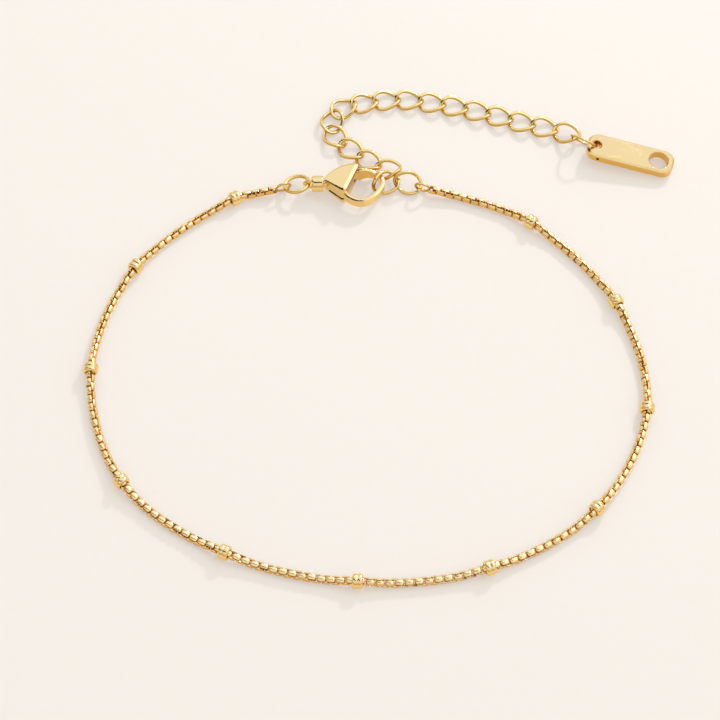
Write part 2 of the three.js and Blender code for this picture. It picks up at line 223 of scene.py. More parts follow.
def grown(source, name, tree, sizes):
    """Runs a geometry tree on an object and bakes what it grows."""
    modifier = source.modifiers.new(name, "NODES")
    modifier.node_group = tree.tree
    for item in tree.tree.interface.items_tree:
        if item.in_out == "INPUT" and item.name in sizes:
            modifier[item.identifier] = sizes[item.name]
    return baked(source, name)


# %% [markdown]
# ## Gold finishes
#
# All of the anklet is yellow-gold plating, but no two pieces are polished alike. The chain is
# tumbled, the clasp is buffed to a mirror, and the tag's flat faces are finely lapped. One
# function makes them all: a warm base colour that drifts a little, a roughness that varies, and
# hairline scratches that show only as a slight change of gloss and normal. Two painted marks
# deepen the colour. Faces that lean over get a deeper, redder tint, a painted reflection and
# shade for gold that mirrors more gold low down and between pieces. An attribute on the mesh,
# where there is one, paints a dark brown shade into the gaps between the chain's links and into
# hollows and walls.

# %% Gold

PALE_GOLD = (0.90, 0.715, 0.39, 1.0)
# The second gold is painted reflection and shade for faces that lean over.
SHADED_WALL_GOLD = (0.95, 0.66, 0.23, 1.0)
# A dark brown, painted as shade into the chain's gaps and into marked hollows and walls.
MARKED_SHADE_BROWN = (0.28, 0.09, 0.01, 1.0)
LEANING_SPAN = 0.65
# Shares of the painted wall shade, of the random drift, and of the marked painted shade.
WALL_SHADE_SHARE, DRIFT_TINT, MARKED_SHADE_SHARE = 0.85, 0.12, 0.85
HAIRLINE_DEPTH = 0.004 * MM
WIRE_PALE = (0.96, 0.76, 0.34, 1.0)
# The wire's second colour is painted reflection and shade on its leaning sides.
WIRE_SHADED_WALL = (0.62, 0.35, 0.05, 1.0)


def new_finish(name):
    """A material, its tree, its shader and the piece's own coordinates."""
    material = bpy.data.materials.new(name)
    material.use_nodes = True
    tree = Tree(material.node_tree)
    spot = tree.node("ShaderNodeTexCoord", output="Object")
    return material, tree, material.node_tree.nodes["Principled BSDF"], spot


def gold(name, pale, shaded_wall, gloss, grain, scratch, leaning=0.95):
    """gloss is the roughness, grain how much it varies, scratch the depth of the hairlines.

    The second colour is painted reflection and shade: it is laid on faces that lean over further
    than leaning, the height of their normal."""
    material, tree, shader, spot = new_finish(name)
    millimetres = tree.node("ShaderNodeMapping", inputs={"Vector": spot, "Scale": (1 / MM,) * 3})
    drift = tree.noise(millimetres, 0.55, 2.0)
    speckle = tree.noise(millimetres, 9.0, 3.0)
    combed = tree.node("ShaderNodeMapping", inputs={
        "Vector": millimetres, "Rotation": (0.3, 0.2, 0.7), "Scale": (0.9, 26.0, 26.0)})
    hairline = tree.eased(tree.noise(combed, 1.0, 4.0), 0.56, 0.70)
    normal = tree.node("ShaderNodeNewGeometry", output="Normal")
    level = tree.node("ShaderNodeSeparateXYZ", inputs={"Vector": normal}, output="Z")
    # Painted reflection and shade: faces that lean over take the second colour.
    wall = tree.eased(level, leaning, leaning - LEANING_SPAN)
    wall_shade_and_drift = wall * WALL_SHADE_SHARE + drift * DRIFT_TINT + speckle * DRIFT_TINT - DRIFT_TINT / 2
    # Painted shade: marked corners darken toward the dark brown.
    recess = tree.node("ShaderNodeAttribute", {"attribute_name": "recess"}, output="Fac")
    tint = tree.mixed(pale, shaded_wall, wall_shade_and_drift)
    tree.feed(shader.inputs["Base Color"], tree.mixed(tint, MARKED_SHADE_BROWN, recess * MARKED_SHADE_SHARE))
    shader.inputs["Metallic"].default_value = 1.0
    roughness = gloss + (speckle - 0.5) * grain + hairline * (grain * 0.6)
    tree.feed(shader.inputs["Roughness"], roughness)
    bumped = tree.node("ShaderNodeBump", inputs={
        "Height": hairline, "Strength": scratch, "Distance": HAIRLINE_DEPTH})
    tree.feed(shader.inputs["Normal"], bumped)
    return material


# The second colour of each pair is painted reflection and shade on leaning faces.
CHAIN_PALE, CHAIN_SHADED_WALL = (1.0, 0.86, 0.50, 1.0), (0.84, 0.44, 0.05, 1.0)
GATE_SHADED_WALL = (0.95, 0.58, 0.14, 1.0)
TAG_PALE, TAG_SHADED_WALL = (0.84, 0.675, 0.38, 1.0), (0.86, 0.50, 0.10, 1.0)
CHAIN_GOLD = gold("tumbled_chain_gold", CHAIN_PALE, CHAIN_SHADED_WALL, 0.26, 0.10, 0.4, 0.85)
BEAD_GOLD = gold("buffed_bead_gold", PALE_GOLD, SHADED_WALL_GOLD, 0.14, 0.08, 0.15)
WIRE_GOLD = gold("drawn_wire_gold", WIRE_PALE, WIRE_SHADED_WALL, 0.09, 0.06, 0.5, 0.85)
CLASP_GOLD = gold("mirror_clasp_gold", PALE_GOLD, SHADED_WALL_GOLD, 0.10, 0.06, 0.5)
GATE_GOLD = gold("mirror_gate_gold", PALE_GOLD, GATE_SHADED_WALL, 0.10, 0.06, 0.5)
TAG_GOLD = gold("lapped_tag_gold", TAG_PALE, TAG_SHADED_WALL, 0.10, 0.05, 0.5)
print("finishes:", [m.name for m in bpy.data.materials])

# %% [markdown]
# ## Reading places from the construction
#
# Each small piece lies somewhere, turned some way. Its construction solid already knows: the
# middle of its corners is its centre, and the three directions in which the corners spread
# most, less and least are its own axes. A link's long axis comes first, a ring's or a bead's
# hole axis last.

# %% Corners, centre and axes of a node


def corners(node):
    """The different corners of a construction solid, in mm."""
    points = np.array([v.co[:] for v in frame["nodes"][node].data.vertices]) / MM
    return np.unique(points.round(4), axis=0)


def own_axes(points):
    """Centre and right-handed axes of a cloud of corners, widest spread first."""
    middle = points.mean(axis=0)
    _, _, axes = np.linalg.svd(points - middle, full_matrices=False)
    if np.linalg.det(axes) < 0:
        axes[2] = -axes[2]
    along = (points - middle) @ axes.T
    centre = middle + (along.max(axis=0) + along.min(axis=0)) / 2 @ axes
    return centre, axes


def as_matrix(centre, axes):
    """Axes are rows; the matrix takes a piece from its own frame to the anklet's."""
    turned = Matrix([list(row) for row in axes]).transposed().to_4x4()
    return Matrix.Translation(Vector(centre)) @ turned


links = sorted(n for n in frame["nodes"] if n.startswith("extender_link"))
beads = sorted(n for n in frame["nodes"] if n.startswith("bead"))
rings = sorted(n for n in frame["nodes"] if "ring" in n)
print(len(beads), "beads,", len(links), "extender links,", len(rings), "rings")

# %% [markdown]
# ## Swept wire
#
# The rings, the extender's links and the clasp's eye are wire bent along a path. One geometry
# tree carries a square section along the path and rounds the square's corners: rounded all the
# way it is round wire, and rounded less it keeps the narrow flats that drawing and tumbling
# leave, which catch the light in lines. The section is carried with the least twist, so the
# wire can climb as well as turn.

# %% The sweeping tree


def sweep_tree():
    """Carries a rounded square along a path."""
    sizes = {"Spacing": "Float", "Thickness": "Float", "Rounding": "Float",
             "Corner Steps": "Int", "Finish": "Material"}
    tree, given = geometry_tree("swept_wire", sizes)
    path = tree.node("GeometryNodeMeshToCurve", inputs={"Mesh": given["Geometry"]})
    path = tree.node("GeometryNodeResampleCurve", {"mode": "LENGTH"},
                     {"Curve": path, "Length": given["Spacing"]})
    path = tree.node("GeometryNodeSetCurveNormal", {"mode": "MINIMUM_TWIST"}, {"Curve": path})
    section = tree.node("GeometryNodeCurvePrimitiveQuadrilateral", inputs={
        "Width": given["Thickness"], "Height": given["Thickness"]})
    section = tree.node("GeometryNodeFilletCurve", {"mode": "POLY"}, {
        "Curve": section, "Count": given["Corner Steps"], "Radius": given["Rounding"]})
    swept = tree.node("GeometryNodeCurveToMesh", inputs={
        "Curve": path, "Profile Curve": section, "Fill Caps": True})
    end_tree(tree, swept, given["Finish"])
    return tree


SWEEP = sweep_tree()
print("sweeping tree:", len(SWEEP.tree.nodes), "nodes")

# %% Paths, shading and wire


def path_object(name, points, closed):
    """A line of points, in mm, as edges for a tree to follow."""
    mesh = bpy.data.meshes.new(name)
    edges = [(i, i + 1) for i in range(len(points) - 1)]
    if closed:
        edges.append((len(points) - 1, 0))
    mesh.from_pydata([tuple(p) for p in points], edges, [])
    return add_object(name, mesh)


def smooth(piece, angle):
    """Rounds the shading, but keeps edges sharper than the angle crisp."""
    for face in piece.data.polygons:
        face.use_smooth = True
    piece.data.set_sharp_from_angle(angle=math.radians(angle))
    return piece


FULLY_ROUND = 0.999
WIRE_EDGE_ANGLE = 75


def wire(name, points, radius, spacing, finish, corner_steps=3, closed=True,
         rounding=FULLY_ROUND):
    """Wire along a path; the less it is rounded, the wider the flats on its four sides."""
    sizes = {"Spacing": spacing, "Thickness": 2 * radius, "Rounding": rounding * radius,
             "Corner Steps": corner_steps, "Finish": finish}
    swept = grown(path_object(name, points, closed), name, SWEEP, sizes)
    return smooth(swept, WIRE_EDGE_ANGLE)


# %% [markdown]
# ## Riding on a body
#
# The construction has two bodies: the lever, and the rest of the anklet. A finished piece rides
# on one of them and takes the place of its solids, which it hides. Parts that never move apart
# are joined into one piece first.

# %% Pieces on bodies


def carried(piece, nodes, body="anklet"):
    """A finished piece rides on a body and takes the place of its solids."""
    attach(piece, body)
    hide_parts(*nodes)
    print(f"{piece.name}: {len(piece.data.polygons)} faces, rides on {body}")


def joined(name, parts, nodes, body="anklet"):
    """Several baked parts made one piece, riding on a body in place of its solids."""
    mesh = bpy.data.meshes.new(name)
    whole = bmesh.new()
    for part in parts:
        whole.from_mesh(part.data)
    whole.to_mesh(mesh)
    whole.free()
    mesh.materials.append(parts[0].data.materials[0])
    for part in parts:
        bpy.data.objects.remove(part)
    carried(add_object(name, mesh), nodes, body)


# %% [markdown]
# ## Laying a piece where its solid lies
#
# Beads and extender links repeat: one is made well, and a tree sets it down at every place.
# A place is a point that carries two directions, the piece's long axis and its hole axis, and
# the tree turns the pair into a rotation.

# %% The laying tree


def laying_tree():
    """Sets one piece down at every point, turned by the point's two directions."""
    tree, given = geometry_tree("laid_pieces", {"Piece": "Object", "Finish": "Material"})
    axes = [attribute(tree, name, "FLOAT_VECTOR") for name in ("long_axis", "hole_axis")]
    end_with_copies(tree, given["Geometry"], given["Piece"], facing(tree, *axes), given["Finish"])
    return tree


LAYING = laying_tree()
print("laying tree:", len(LAYING.tree.nodes), "nodes")


def laid(name, pattern, nodes, finish):
    """Sets a pattern piece, made in mm about the origin, down at each node's place."""
    places = [own_axes(corners(node)) for node in nodes]
    mesh = bpy.data.meshes.new(name)
    mesh.from_pydata([tuple(centre) for centre, _ in places], [], [])
    points = add_object(name, mesh)
    for row, label in ((0, "long_axis"), (2, "hole_axis")):
        directions = np.array([axes[row] for _, axes in places])
        marks = points.data.attributes.new(label, "FLOAT_VECTOR", "POINT")
        marks.data.foreach_set("vector", directions.ravel())
    piece = grown(points, name, LAYING, {"Piece": pattern, "Finish": finish})
    bpy.data.objects.remove(pattern)
    carried(piece, nodes)


# %% [markdown]
# ## The extender's twisted links
#
# Each link is wire with slight flats, bent to an oval whose two ends are turned opposite ways,
# as in a curb chain, so the links nest flat. The oval's formula gives the path, and the sweep
# gives the wire; the construction solids say how each link lies.

# %% Twisted links

LINK_HALF_LENGTH = 1.76
LINK_HALF_WIDTH = 1.36
LINK_WIRE_RADIUS = 0.215
LINK_TWIST = math.radians(-30)


def twisted_oval(steps=96):
    """An oval whose ends turn opposite ways about its length."""
    path = []
    for i in range(steps):
        angle = math.tau * i / steps
        across = LINK_HALF_WIDTH * math.sin(angle)
        twist = LINK_TWIST * math.cos(angle)
        path.append((LINK_HALF_LENGTH * math.cos(angle),
                     across * math.cos(twist), across * math.sin(twist)))
    return path


LINK_SPACING = 0.17
LINK_ROUNDING = 0.66
link_pattern = wire("link_pattern", twisted_oval(), LINK_WIRE_RADIUS, LINK_SPACING,
                    WIRE_GOLD, rounding=LINK_ROUNDING)
# A baked pattern is in metres, and the laying tree wants it back in mm.
link_pattern.data.transform(Matrix.Scale(1 / MM, 4))
laid("extender_links", link_pattern, links, WIRE_GOLD)

# %% [markdown]
# ## Rings
#
# Four plain rings of round wire join the parts: one on each end of the chain, a heavier jump ring on the
# clasp and a wide thin one through the tag. Their solids give the size: the reach from the
# middle, and the wire from the ring's own thickness.

# %% Rings

RING_STEPS = 80
RING_SPACING = 0.14


def ring_at(node):
    """The fine ring in the place of a solid one."""
    points = corners(node)
    centre, axes = own_axes(points)
    local = (points - centre) @ axes.T
    wire_radius = np.ptp(local[:, 2]) / 2
    ring_radius = np.linalg.norm(local[:, :2], axis=1).max() - wire_radius
    turns = [math.tau * i / RING_STEPS for i in range(RING_STEPS)]
    around = [centre + ring_radius * (math.cos(t) * axes[0] + math.sin(t) * axes[1])
              for t in turns]
    return wire(node + "_fine", around, wire_radius, RING_SPACING, WIRE_GOLD, corner_steps=4)


joined("round_rings", [ring_at(node) for node in rings], rings)

# %% [markdown]
# ## The box chain
#
# The chain is a fine box chain: small rounded-square links, each standing at a right angle to
# the next, with the next one's side lying inside it. The pitch is therefore the link's outer
# length less two thicknesses of strip. The chain lies along a smooth route on the surface,
# climbs to each bead and each end ring, and rolls as it goes, because nothing holds a chain
# flat. The route is a short list of places: the chain's ends, its beads and one place where it
# straightens. A smooth curve that passes through every place joins them.

# %% The route

CHAIN_RADIUS = 0.55
BEAD_RADIUS = 0.94
LIFT_SPAN = 4.2
# Columns are x, y and 1 where a bead sits.
CHAIN_ROUTE = [
    (-11.1, 24.9, 0), (-16.0, 23.6, 1), (-28.2, 13.2, 1), (-33.1, -1.8, 1),
    (-28.6, -17.5, 1), (-16.0, -27.0, 1), (-0.3, -30.8, 1), (15.3, -29.0, 1),
    (28.2, -21.2, 1), (35.0, -7.4, 1), (32.0, 7.9, 1), (21.8, 19.9, 1),
    (14.5, 23.5, 0), (9.25, 24.9, 0),
]
ORIGIN_SHIFT = np.array([3.23, 4.63])


def smooth_route(points, steps=60):
    """Centripetal Catmull-Rom through the points, by Barry and Goldman's pyramid."""
    ends = [2 * points[0] - points[1]], [2 * points[-1] - points[-2]]
    knots = np.vstack([ends[0], points, ends[1]])
    line = []
    for p0, p1, p2, p3 in zip(knots, knots[1:], knots[2:], knots[3:]):
        t1 = np.linalg.norm(p1 - p0) ** 0.5
        t2 = t1 + np.linalg.norm(p2 - p1) ** 0.5
        t3 = t2 + np.linalg.norm(p3 - p2) ** 0.5
        for t in np.linspace(t1, t2, steps, endpoint=False):
            a1 = (t1 - t) / t1 * p0 + t / t1 * p1
            a2 = (t2 - t) / (t2 - t1) * p1 + (t - t1) / (t2 - t1) * p2
            a3 = (t3 - t) / (t3 - t2) * p2 + (t - t2) / (t3 - t2) * p3
            b1 = (t2 - t) / t2 * a1 + t / t2 * a2
            b2 = (t3 - t) / (t3 - t1) * a2 + (t - t1) / (t3 - t1) * a3
            line.append((t2 - t) / (t2 - t1) * b1 + (t - t1) / (t2 - t1) * b2)
    return np.array(line + [points[-1]])


def route_height(spot, high_places):
    """Lying on the surface, and eased up to the height of a bead or a ring close by."""
    rise = max(0, 1 - np.linalg.norm(high_places - spot, axis=1).min() / LIFT_SPAN)
    return CHAIN_RADIUS + (BEAD_RADIUS - CHAIN_RADIUS) * rise * rise * (3 - 2 * rise)


rows = np.array(CHAIN_ROUTE)
plan = rows[:, :2] - ORIGIN_SHIFT
high_places = plan[(rows[:, 2] == 1) | (np.arange(len(rows)) % (len(rows) - 1) == 0)]
route = [(*spot, route_height(spot, high_places)) for spot in smooth_route(plan)]
route_length = sum(math.dist(a, b) for a, b in zip(route, route[1:]))
print("chain route:", round(route_length, 1), "mm in", len(route), "points")

# %% [markdown]
# ## One box link, hundreds of times
#
# Up close, a chain of this kind is two rows of bright pads with dark dots between them. The
# pads are the outer faces of the links and the dots are the gaps, so the link's inner faces are
# marked for painted shade, which darkens the gaps. The link has few facets, because it repeats
# hundreds of times: its strip has six sides, and each corner three steps. The tree walks the
# route at the pitch, turns every second link by a quarter, adds the chain's roll, and lets each
# link lie a little loose, by a random turn whose seed is fixed.

# %% The box link

STRIP_THICKNESS = 0.26
STRIP_WIDTH = 0.58
LINK_WIDTH = 1.1
LINK_PITCH = 0.575
LINK_CORNER = 0.15
# Columns are outward and up, as shares of half the strip's thickness and half its width.
STRIP_SECTION = [(0.92, -0.4), (0.92, 0.4), (0.2, 1.0), (-1.0, 0.8), (-1.0, -0.8), (0.2, -1.0)]


def rounded_square(length, width, corner, steps=3):
    """A link's middle line: four quarter-round corners, each with the given steps."""
    far, wide = length / 2 - corner, width / 2 - corner
    middles = [(far, wide), (-far, wide), (-far, -wide), (far, -wide)]
    path = []
    for quarter, (x, y) in enumerate(middles):
        for i in range(steps):
            angle = math.pi / 2 * (quarter + (i + 0.5) / steps)
            path.append((x + corner * math.cos(angle), y + corner * math.sin(angle), 0))
    return path


def box_link_pattern():
    """One link with few facets: it repeats hundreds of times."""
    length = LINK_PITCH + STRIP_THICKNESS
    path = rounded_square(length, LINK_WIDTH - STRIP_THICKNESS, LINK_CORNER)
    mesh = bpy.data.meshes.new("box_link_pattern")
    half_thin, half_wide = STRIP_THICKNESS / 2, STRIP_WIDTH / 2
    section = [(out * half_thin, up * half_wide) for out, up in STRIP_SECTION]
    points, faces = [], []
    for i, (x, y, _) in enumerate(path):
        ahead, behind = path[(i + 1) % len(path)], path[i - 1]
        tangent = Vector((ahead[0] - behind[0], ahead[1] - behind[1], 0)).normalized()
        outward = Vector((tangent.y, -tangent.x, 0))
        for out, up in section:
            points.append(Vector((x, y, up)) + out * outward)
    for i in range(len(path)):
        for j in range(len(section)):
            here, beside = i * len(section) + j, i * len(section) + (j + 1) % len(section)
            step = len(section) * ((i + 1) % len(path)) - i * len(section)
            faces.append((here, here + step, beside + step, beside))
    mesh.from_pydata(points, [], faces)
    # Painted shade: the link's inner faces are marked, so the gaps between links darken.
    recess = [1.0 if out < 0 else 0.0 for out, _ in section] * len(path)
    mesh.attributes.new("recess", "FLOAT", "POINT").data.foreach_set("value", recess)
    return add_object("box_link_pattern", mesh)


box_link = box_link_pattern()
print("box link:", len(box_link.data.polygons), "faces")

# %% The chain's tree

LINK_PLAY = math.radians(11)
PLAY_SEED = 7


def chain_tree():
    """Walks a route at the pitch and sets a link down at every step."""
    sizes = {"Link": "Object", "Pitch": "Float", "Finish": "Material"}
    tree, given = geometry_tree("box_chain", sizes)
    path = tree.node("GeometryNodeMeshToCurve", inputs={"Mesh": given["Geometry"]})
    path = tree.node("GeometryNodeSetCurveNormal", {"mode": "Z_UP"}, {"Curve": path})
    path = tree.node("GeometryNodeResampleCurve", {"mode": "LENGTH"},
                     {"Curve": path, "Length": given["Pitch"]})
    tangent = tree.node("GeometryNodeInputTangent")
    normal = tree.node("GeometryNodeInputNormal")
    roll = attribute(tree, "roll", "FLOAT")
    index = tree.node("GeometryNodeInputIndex")
    loose = tree.node("FunctionNodeRandomValue", {"data_type": "FLOAT"},
                      {2: -LINK_PLAY, 3: LINK_PLAY, "ID": index, "Seed": PLAY_SEED}, output=1)
    quarter = tree.node("FunctionNodeAxisAngleToRotation", inputs={
        "Axis": (1.0, 0.0, 0.0), "Angle": index * (math.pi / 2) + roll + loose})
    turn = tree.node("FunctionNodeRotateRotation", {"rotation_space": "LOCAL"},
                     {"Rotation": facing(tree, tangent, normal), "Rotate By": quarter})
    end_with_copies(tree, path, given["Link"], turn, given["Finish"])
    return tree


# %% Box links along the route

# How far the chain has rolled, in degrees, at even steps from end to end.
ROLL_TURNS = [10, 20, 35, 45, 40, 25, 10, 5, 10, 25, 30, 20, 30, 35, 45, 40, 45, 40, 30, 20, 10]
line = path_object("box_chain_route", route, False)
along = np.linspace(0, 1, len(route))
roll = np.interp(along, np.linspace(0, 1, len(ROLL_TURNS)), np.radians(ROLL_TURNS))
line.data.attributes.new("roll", "FLOAT", "POINT").data.foreach_set("value", roll)
count = round(route_length / LINK_PITCH)
print("box links:", count + 1)
sizes = {"Link": box_link, "Pitch": route_length / count, "Finish": CHAIN_GOLD}
BOX_LINK_EDGE_ANGLE = 34
box_chain = smooth(grown(line, "box_chain", chain_tree(), sizes), BOX_LINK_EDGE_ANGLE)
bpy.data.objects.remove(box_link)
carried(box_chain, ["chain"])

# %% [markdown]
# ## Ridged beads
#
# A bead is a short rondelle turned with two round ridges and a groove between them. Turning is
# what a lathe does, so its half section is spun about the hole; the section is closed, and the
# spin leaves a clean bore for the chain. The laying tree sets all the beads down.

# %% Turning


def turned(name, section, facets, closed):
    """Spins a half section of (radius, along) points about the X axis, in mm."""
    shape = bmesh.new()
    line = [shape.verts.new((along, radius, 0)) for radius, along in section]
    edges = [shape.edges.new(pair) for pair in zip(line, line[1:])]
    if closed:
        edges.append(shape.edges.new((line[-1], line[0])))
    bmesh.ops.spin(shape, geom=line + edges, cent=(0, 0, 0), axis=(1, 0, 0),
                   angle=math.tau, steps=facets, use_merge=True)
    bmesh.ops.remove_doubles(shape, verts=shape.verts, dist=1e-5)
    return from_shape(name, shape)


# %% Beads

BEAD_BORE = 0.60
# Columns are radius and distance from the groove, out over one ridge and into the bore.
HALF_BEAD = [
    (0.87, 0.0), (0.882, 0.07), (0.918, 0.13), (0.937, 0.22), (0.935, 0.31), (0.915, 0.42),
    (0.87, 0.52), (0.81, 0.59), (0.74, 0.63), (0.66, 0.65), (BEAD_BORE + 0.02, 0.63),
    (BEAD_BORE, 0.57),
]
BEAD_FACETS = 48
BEAD_EDGE_ANGLE = 50
QUARTER_TURN = math.radians(90)
other_half = [(radius, -along) for radius, along in reversed(HALF_BEAD[1:])]
bead_pattern = turned("bead_pattern", other_half + HALF_BEAD, BEAD_FACETS, True)
bead_pattern.data.transform(Matrix.Rotation(QUARTER_TURN, 4, "Y"))
smooth(bead_pattern, BEAD_EDGE_ANGLE)
laid("ridged_beads", bead_pattern, beads, BEAD_GOLD)

# %% [markdown]
# ## Plates and cuts
#
# A goldsmith saws a plate, breaks its edges with a file and cuts holes with tools. A filled
# flat curve makes such a plate: its extrusion is the thickness and its bevel the broken edge.
# Boolean modifiers take the tools' shapes out of it. Shading weighted by face area keeps the
# flat faces flat, and a mark on each corner says where the finish paints shade.

# %% Plates made from flat curves


def plate(name, outlines, thickness, bevel, steps=3):
    """A flat plate in mm; the first outline is its edge, and any others are holes."""
    curve = bpy.data.curves.new(name, "CURVE")
    curve.dimensions = "2D"
    curve.fill_mode = "BOTH"
    curve.extrude = thickness / 2 - bevel
    curve.bevel_depth = bevel
    curve.bevel_resolution = steps
    curve.offset = -bevel
    for outline in outlines:
        spline = curve.splines.new("POLY")
        spline.points.add(len(outline) - 1)
        for point, (x, y) in zip(spline.points, outline):
            point.co = (x, y, 0, 1)
        spline.use_cyclic_u = True
    flat = add_object(name + "_curve", curve)
    shape = bmesh.new()
    shape.from_mesh(as_modified(flat))
    bpy.data.objects.remove(flat)
    bmesh.ops.remove_doubles(shape, verts=shape.verts, dist=1e-4)
    return from_shape(name, shape)


def circle(radius, x=0.0, y=0.0, steps=64, sense=1):
    """A round outline; sense -1 runs it backwards, as a hole's outline runs."""
    return [(x + radius * math.cos(sense * math.tau * i / steps),
             y + radius * math.sin(sense * math.tau * i / steps)) for i in range(steps)]


# %% Cutting and finishing

FLAT_FACE_WEIGHT = 80


def finished(piece, name, finish, place, angle):
    """Paints a piece made in mm, evens its shading and sets it at its place."""
    piece.data.materials.clear()
    piece.data.materials.append(finish)
    smooth(piece, angle)
    modifier = piece.modifiers.new("even_shading", "WEIGHTED_NORMAL")
    modifier.keep_sharp = True
    modifier.weight = FLAT_FACE_WEIGHT
    return baked(piece, name, place)


def marked(piece, depth):
    """Marks each corner with a share of painted shade, 0 to 1, for the finish to darken."""
    marks = piece.data.attributes.new("recess", "FLOAT", "POINT")
    for vertex, mark in zip(piece.data.vertices, marks.data):
        mark.value = depth(vertex.co)
    return piece


def cut(piece, *tools):
    """Takes the tools' shapes out of a piece."""
    for tool in tools:
        modifier = piece.modifiers.new("cut", "BOOLEAN")
        modifier.operation = "DIFFERENCE"
        modifier.solver = "EXACT"
        modifier.object = tool
    mesh = as_modified(piece)
    piece.modifiers.clear()
    piece.data = mesh
    for tool in tools:
        bpy.data.objects.remove(tool)
    return piece


# %% [markdown]
# ## The tag
#
# The tag is a thick oblong plate with well-rounded corners, a small and a large round hole, a
# dimple drilled into its long edge, and edges broken by a narrow filed bevel. A curve's bevel
# is as deep as it is wide, so the blank is made too thick and then pressed down, which lays the
# bevel over. The holes are cut by round tools that widen at both faces, as a real hole is
# cleaned of its burr.

# %% The tag's blank

TAG_CORNER = 1.45
TAG_BEVEL, TAG_BEVEL_SLOPE = 0.24, 0.70

tag_points = corners("tag")
tag_centre, tag_axes = own_axes(tag_points)
if tag_axes[0][0] < 0:
    tag_axes[:2] = -tag_axes[:2]
if tag_axes[2][2] < 0:
    tag_axes[1:] = -tag_axes[1:]
tag_size = np.ptp((tag_points - tag_centre) @ tag_axes.T, axis=0)
print("tag, mm:", tag_size.round(2))

edge = rounded_square(tag_size[0], tag_size[1], TAG_CORNER, steps=16)
edge = [(x, y) for x, y, _ in edge]
tag_plate = plate("tag_plate_blank", [edge], tag_size[2] / TAG_BEVEL_SLOPE, TAG_BEVEL, 0)
tag_plate.data.transform(Matrix.Diagonal((1, 1, TAG_BEVEL_SLOPE, 1)))

# %% The tag's holes and dimple

SMALL_HOLE_FROM_END, SMALL_HOLE = 1.2, 0.65
LARGE_HOLE_FROM_END, LARGE_HOLE = 2.0, 1.25
DIMPLE_FROM_END, DIMPLE_RADIUS, DIMPLE_DEPTH = 1.75, 0.21, 0.6
DIMPLE_REACH, EDGE_SKIN = 0.3, 0.05
PUNCH_RIM = 0.07
PUNCH_FACETS = 64
TAG_EDGE_ANGLE = 20
half_length, half_width = tag_size[0] / 2, tag_size[1] / 2


def punch(radius, along):
    """A round punch that leaves a narrow bevel at both faces of the tag."""
    half, wide = tag_size[2] / 2, radius + PUNCH_RIM
    upper = [(radius, half - PUNCH_RIM), (wide, half), (wide, 2 * half), (0, 2 * half)]
    lower = [(out, -height) for out, height in reversed(upper)]
    piece = turned("punch", lower + upper, PUNCH_FACETS, False)
    stand = Matrix.Rotation(QUARTER_TURN, 4, "Y")
    piece.data.transform(Matrix.Translation((along, 0, 0)) @ stand)
    return piece


def in_dimple(corner):
    """Painted shade: 1 inside the drilled dimple, 0 on the rest of the tag."""
    beside = abs(corner.x - DIMPLE_FROM_END + half_length)
    within = EDGE_SKIN < corner.y + half_width < 1
    return float(beside < DIMPLE_REACH and corner.y < 0 and within)


small = punch(SMALL_HOLE, SMALL_HOLE_FROM_END - half_length)
large = punch(LARGE_HOLE, half_length - LARGE_HOLE_FROM_END)
drill = plate("drill", [circle(DIMPLE_RADIUS, steps=20)], 2 * DIMPLE_DEPTH, 0)
drill.data.transform(Matrix.Translation((DIMPLE_FROM_END - half_length, -half_width, 0))
                     @ Matrix.Rotation(QUARTER_TURN, 4, "X"))
# The dimple is marked for painted shade.
tag_plate = marked(cut(tag_plate, small, large, drill), in_dimple)
tag_place = as_matrix(tag_centre, tag_axes)
tag_plate = finished(tag_plate, "tag_plate", TAG_GOLD, tag_place, TAG_EDGE_ANGLE)
carried(tag_plate, ["tag"])

# %% [markdown]
# ## The lobster clasp
#
# The clasp's body is a cast wedge, thin at the tail and thick at the front, with a turned
# barrel behind it and a wire eye on the barrel. A bar bent to a hook leaves its near corner. A
# slot and a hollow let the lever work inside. All of it is drawn about the clasp's own origin,
# which lies a fixed way from the lever's axis.

# %% Clasp frame and cutting

LEVER_FROM_CLASP = Vector((-0.45, 0.15, 0))
lever_axis = Vector(frame["joints"][0]["pos_m"]) / MM
CLASP = Matrix.Translation(lever_axis - LEVER_FROM_CLASP)


def clasp_part(piece, angle=50, finish=CLASP_GOLD):
    """Finishes a part that was drawn about the clasp's origin."""
    return finished(piece, piece.name + "_fine", finish, CLASP, angle)


print("clasp origin, mm:", [round(c, 2) for c in CLASP.translation])


def lifted(piece, low, high):
    """Moves a plate that is centred on z = 0 so that it spans low to high."""
    piece.data.transform(Matrix.Translation((0, 0, (low + high) / 2)))
    return piece


# %% [markdown]
# ## Filed blocks
#
# The wedge and the hook have soft edges that no single bevel gives: a broad slope, rounded into
# the flat above and rolled over into the wall below. So a block is built in layers. Each layer
# is the outline drawn in by a share of the edge's width and let down by another share, and
# faces join the layers. The outline itself is a chain of Bezier curves.

# %% Outlines


def bezier(points, steps):
    """Points on a Bezier curve of any degree, by de Casteljau, without the last one."""
    line = []
    for i in range(steps):
        t, level = i / steps, [Vector(p) for p in points]
        while len(level) > 1:
            level = [a.lerp(b, t) for a, b in zip(level, level[1:])]
        line.append(tuple(level[0]))
    return line


def leftward(ahead):
    """Unit directions to the left of the given ones."""
    return np.column_stack([-ahead[:, 1], ahead[:, 0]]) / np.linalg.norm(ahead, axis=1)[:, None]


def offset_outline(line, reach):
    """A closed outline that keeps the given distance from a line, on both sides."""
    ahead = np.gradient(line, axis=0)
    aside = reach * leftward(ahead)
    return np.vstack([line + aside, (line - aside)[::-1]])


# %% Filed block

# Columns are in and down, as shares of the edge's width.
EDGE_PROFILE = [
    (1.0, 0.0), (0.92, 0.01), (0.82, 0.05), (0.14, 0.34), (0.06, 0.40), (0.015, 0.48),
    (0.0, 0.60),
]


